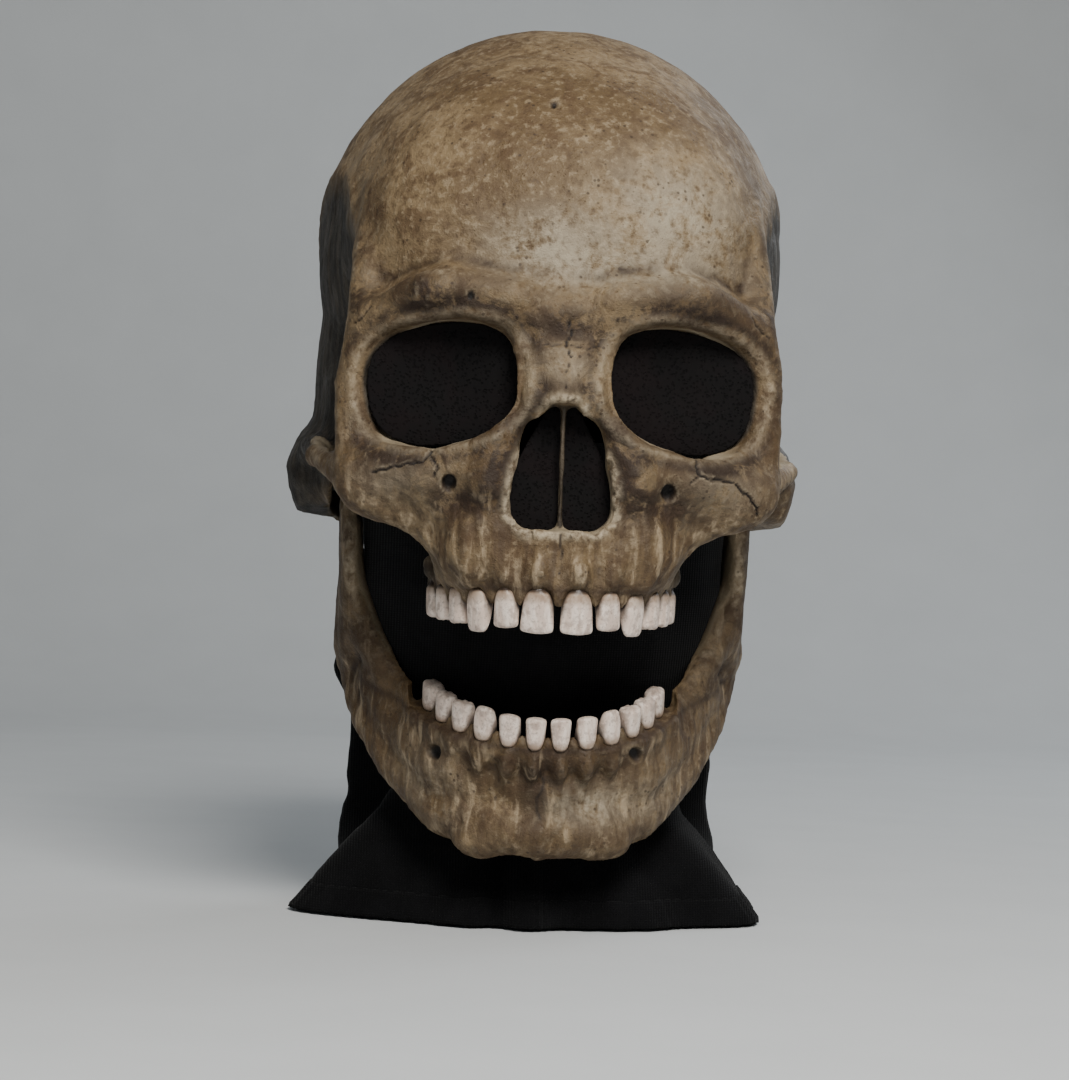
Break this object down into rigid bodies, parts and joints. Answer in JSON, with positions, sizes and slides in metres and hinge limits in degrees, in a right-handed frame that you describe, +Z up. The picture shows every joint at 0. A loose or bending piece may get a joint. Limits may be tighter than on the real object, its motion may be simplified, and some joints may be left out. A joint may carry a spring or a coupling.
{
  "type": "latex halloween mask",
  "caption": "Full-head latex skull mask with open eye sockets, separate teeth and a lower jaw that hinges at the ears, over a black knit hood.",
  "frame": {"origin": "midway between the two jaw hinges, which sit beside the wearer's own jaw joints", "axes": "+Z up from the neck to the crown, -Y the way the face looks, +X the wearer's left"},
  "size_m": [0.211, 0.2592, 0.3624],
  "materials": {
    "bone_latex": "matte aged bone, brown wash and pale dry brush",
    "tooth_enamel": "satin off-white, stained towards the gum",
    "black_knit": "matte black stretch knit",
    "black_mesh": "matte black see-through mesh",
    "foam": "open-cell foam",
    "elastic_web": "woven elastic webbing",
    "black_nylon": "moulded nylon, fine grain",
    "screw_steel": "turned steel"
  },
  "bodies": {
    "cranium": {"cranium_shell": "bone_latex", "upper_central_left": "tooth_enamel", "upper_lateral_left": "tooth_enamel", "upper_canine_left": "tooth_enamel", "upper_premolar_1_left": "tooth_enamel", "upper_premolar_2_left": "tooth_enamel", "upper_molar_1_left": "tooth_enamel", "upper_central_right": "tooth_enamel", "upper_lateral_right": "tooth_enamel", "upper_canine_right": "tooth_enamel", "upper_premolar_1_right": "tooth_enamel", "upper_premolar_2_right": "tooth_enamel", "upper_molar_1_right": "tooth_enamel", "eye_mesh_left": "black_mesh", "eye_mesh_right": "black_mesh", "nose_mesh": "black_mesh", "face_panel": "black_knit", "throat_panel": "black_knit", "neck_hood": "black_knit", "hem_band": "black_knit", "forehead_pad": "foam", "crown_pad": "foam", "occipital_pad": "foam", "temple_pad_left": "foam", "temple_pad_right": "foam", "head_strap": "elastic_web", "strap_anchor_left": "black_nylon", "strap_anchor_right": "black_nylon", "strap_slider": "black_nylon", "hinge_bracket_left": "black_nylon", "shoulder_screw_left": "screw_steel", "washer_inner_left": "black_nylon", "washer_outer_left": "black_nylon", "hinge_bracket_right": "black_nylon", "shoulder_screw_right": "screw_steel", "washer_inner_right": "black_nylon", "washer_outer_right": "black_nylon"},
    "jaw": {"mandible_shell": "bone_latex", "lower_central_left": "tooth_enamel", "lower_lateral_left": "tooth_enamel", "lower_canine_left": "tooth_enamel", "lower_premolar_1_left": "tooth_enamel", "lower_premolar_2_left": "tooth_enamel", "lower_molar_1_left": "tooth_enamel", "lower_central_right": "tooth_enamel", "lower_lateral_right": "tooth_enamel", "lower_canine_right": "tooth_enamel", "lower_premolar_1_right": "tooth_enamel", "lower_premolar_2_right": "tooth_enamel", "lower_molar_1_right": "tooth_enamel", "chin_cup": "foam"}
  },
  "joints": [
    {"name": "jaw_hinge", "type": "hinge", "parent": "cranium", "child": "jaw", "pos_m": [0, 0, 0], "axis": [1, 0, 0], "range_deg": [-18, 0], "deforming": ["face_panel"]}
  ]
}
